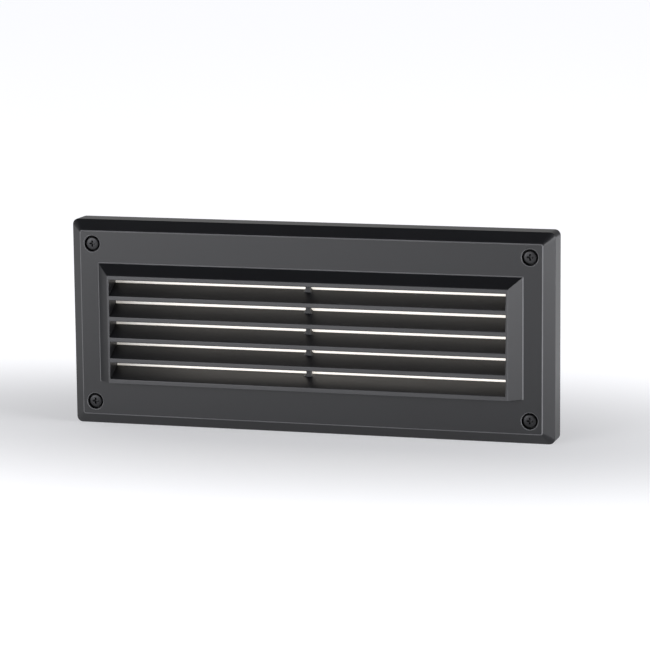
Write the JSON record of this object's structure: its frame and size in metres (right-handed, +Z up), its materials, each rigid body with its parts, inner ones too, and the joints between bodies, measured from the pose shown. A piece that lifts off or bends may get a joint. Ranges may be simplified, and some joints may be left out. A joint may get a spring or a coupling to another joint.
{
  "type": "louvred brick light",
  "caption": "Recessed outdoor wall light in brick format: a die-cast front with a raised louvred hood over a frosted lit pane, on a recess box with a cable gland.",
  "frame": {"origin": "middle of the front, in the plane of the wall that the flange lies on", "axes": "+X along the front to the viewer's right, +Y into the wall, +Z up"},
  "size_m": [0.25, 0.1006, 0.105],
  "materials": {
    "anthracite_coat": "satin powder coat, anthracite",
    "frosted_glass": "frosted, lit from behind",
    "silicone_seal": "matt",
    "spring_steel": "satin",
    "zinc_steel": "zinc plated",
    "housing_casting": "satin powder coat, anthracite",
    "black_rubber": "matt",
    "white_tray": "gloss white paint",
    "board_white": "white solder mask",
    "led_phosphor": "warm white phosphor, lit",
    "driver_case": "fine texture",
    "terminal_nylon": "smooth",
    "terminal_brass": "plain",
    "tinned_tag": "tinned",
    "lead_brown": "insulation",
    "lead_blue": "insulation",
    "lead_green_yellow": "striped insulation",
    "lead_red": "insulation",
    "lead_black": "insulation",
    "gland_nylon": "moulded",
    "slip_ring": "moulded",
    "black_screw": "blackened steel"
  },
  "bodies": {
    "housing": {"housing": "housing_casting", "housing_gasket": "black_rubber", "reflector_tray": "white_tray", "tray_screws": "zinc_steel", "led_board": "board_white", "led_board_screws": "zinc_steel", "led_chips": "led_phosphor", "led_driver": "driver_case", "driver_screws": "zinc_steel", "lead_grommet": "black_rubber", "terminal_block": "terminal_nylon", "terminal_screws": "terminal_brass", "terminal_block_screws": "zinc_steel", "earth_tag": "tinned_tag", "earth_screw": "zinc_steel", "lead_live": "lead_brown", "lead_neutral": "lead_blue", "lead_earth": "lead_green_yellow", "led_lead_positive": "lead_red", "led_lead_negative": "lead_black", "gland_washer": "black_rubber", "plug_washer": "black_rubber", "gland_body": "gland_nylon", "gland_seal": "black_rubber", "blanking_plug": "gland_nylon"},
    "cover": {"louvre_cover": "anthracite_coat", "glass_gasket": "silicone_seal", "glass_pane": "frosted_glass", "glass_clips": "spring_steel", "glass_clip_screws": "zinc_steel"},
    "washer_top_left": {"screw_washer_top_left": "black_rubber"},
    "screw_top_left": {"cover_screw_top_left": "black_screw"},
    "washer_top_right": {"screw_washer_top_right": "black_rubber"},
    "screw_top_right": {"cover_screw_top_right": "black_screw"},
    "washer_bottom_left": {"screw_washer_bottom_left": "black_rubber"},
    "screw_bottom_left": {"cover_screw_bottom_left": "black_screw"},
    "washer_bottom_right": {"screw_washer_bottom_right": "black_rubber"},
    "screw_bottom_right": {"cover_screw_bottom_right": "black_screw"},
    "gland_ring": {"gland_slip_ring": "slip_ring"},
    "gland_nut": {"gland_nut": "gland_nylon"}
  },
  "joints": [
    {"name": "cover_release", "type": "slide", "parent": "housing", "child": "cover", "axis": [0, -1, 0], "range_m": [0, 0.04]},
    {"name": "screw_back_out_top_left", "type": "slide", "parent": "cover", "child": "washer_top_left", "axis": [0, -1, 0], "range_m": [0, 0.0098]},
    {"name": "screw_turn_top_left", "type": "hinge", "parent": "washer_top_left", "child": "screw_top_left", "pos_m": [-0.1132, 0, 0.0405], "axis": [0, -1, 0], "range_deg": [0, 5040]},
    {"name": "screw_back_out_top_right", "type": "slide", "parent": "cover", "child": "washer_top_right", "axis": [0, -1, 0], "range_m": [0, 0.0098]},
    {"name": "screw_turn_top_right", "type": "hinge", "parent": "washer_top_right", "child": "screw_top_right", "pos_m": [0.1132, 0, 0.0405], "axis": [0, -1, 0], "range_deg": [0, 5040]},
    {"name": "screw_back_out_bottom_left", "type": "slide", "parent": "cover", "child": "washer_bottom_left", "axis": [0, -1, 0], "range_m": [0, 0.0098]},
    {"name": "screw_turn_bottom_left", "type": "hinge", "parent": "washer_bottom_left", "child": "screw_bottom_left", "pos_m": [-0.1132, 0, -0.0405], "axis": [0, -1, 0], "range_deg": [0, 5040]},
    {"name": "screw_back_out_bottom_right", "type": "slide", "parent": "cover", "child": "washer_bottom_right", "axis": [0, -1, 0], "range_m": [0, 0.0098]},
    {"name": "screw_turn_bottom_right", "type": "hinge", "parent": "washer_bottom_right", "child": "screw_bottom_right", "pos_m": [0.1132, 0, -0.0405], "axis": [0, -1, 0], "range_deg": [0, 5040]},
    {"name": "gland_nut_travel", "type": "slide", "parent": "housing", "child": "gland_ring", "axis": [0, 1, 0], "range_m": [0, 0.009]},
    {"name": "gland_nut_turn", "type": "hinge", "parent": "gland_ring", "child": "gland_nut", "pos_m": [0.062, 0, 0], "axis": [0, 1, 0], "range_deg": [0, 2160]}
  ],
  "couplings": [
    {"joint": "screw_turn_top_left", "follows": "screw_back_out_top_left", "rad_per_m": 8976},
    {"joint": "screw_turn_top_right", "follows": "screw_back_out_top_right", "rad_per_m": 8976},
    {"joint": "screw_turn_bottom_left", "follows": "screw_back_out_bottom_left", "rad_per_m": 8976},
    {"joint": "screw_turn_bottom_right", "follows": "screw_back_out_bottom_right", "rad_per_m": 8976},
    {"joint": "gland_nut_travel", "follows": "gland_nut_turn", "m_per_rad": 0.00023873}
  ]
}
